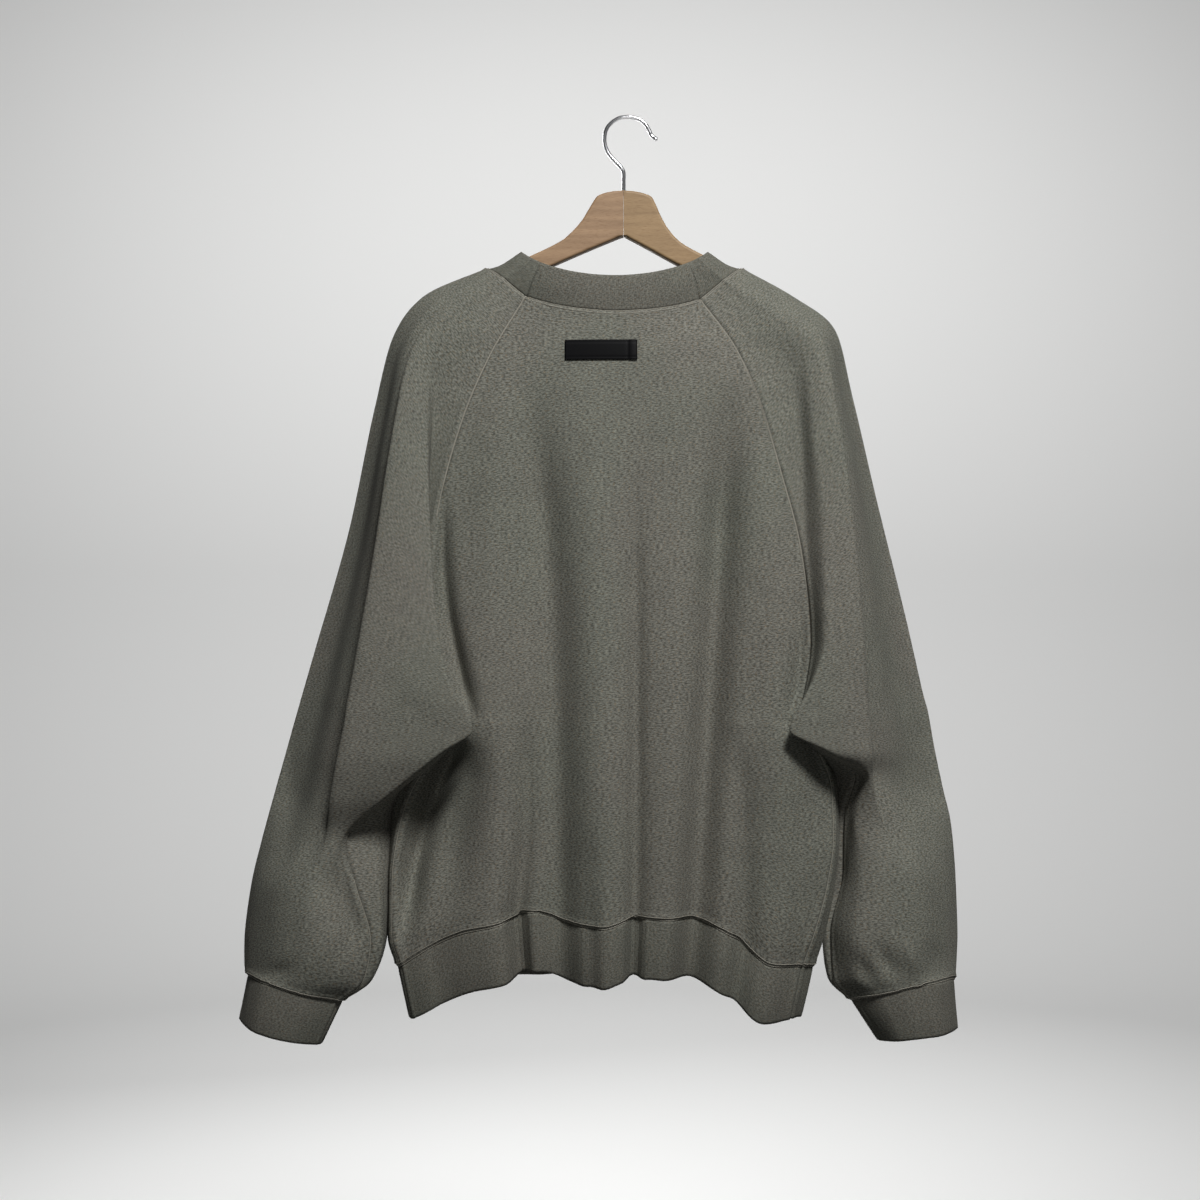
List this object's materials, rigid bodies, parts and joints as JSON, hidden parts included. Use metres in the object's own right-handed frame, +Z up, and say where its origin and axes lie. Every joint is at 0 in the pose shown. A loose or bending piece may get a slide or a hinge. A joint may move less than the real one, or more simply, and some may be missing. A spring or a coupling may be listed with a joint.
{
  "type": "crewneck sweatshirt on wooden hanger",
  "caption": "Heather olive-grey raglan crewneck sweatshirt with rib collar, cuffs and hem, hanging on a wooden hanger with a steel hook.",
  "frame": {"origin": "under the crest of the hanger's hook, where a rail or nail bears", "axes": "+Z up, +X to the right and +Y away from someone who looks at the garment's back, as in the picture"},
  "size_m": [0.7264, 0.1048, 0.9262],
  "materials": {
    "fleece": "heather fleece-back jersey, matt",
    "rib": "fine heather rib knit, matt",
    "tab": "smooth black woven tape, slight sheen",
    "wood": "pale oiled hardwood, satin",
    "steel": "bright plated wire"
  },
  "bodies": {
    "root": {"back_panel": "fleece", "front_panel": "fleece", "sleeve_left": "fleece", "sleeve_right": "fleece", "collar": "rib", "hem_band": "rib", "cuff_left": "rib", "cuff_right": "rib", "label_patch": "tab", "hanger_arm_left": "wood", "hanger_arm_right": "wood", "hanger_hook": "steel"}
  },
  "joints": []
}
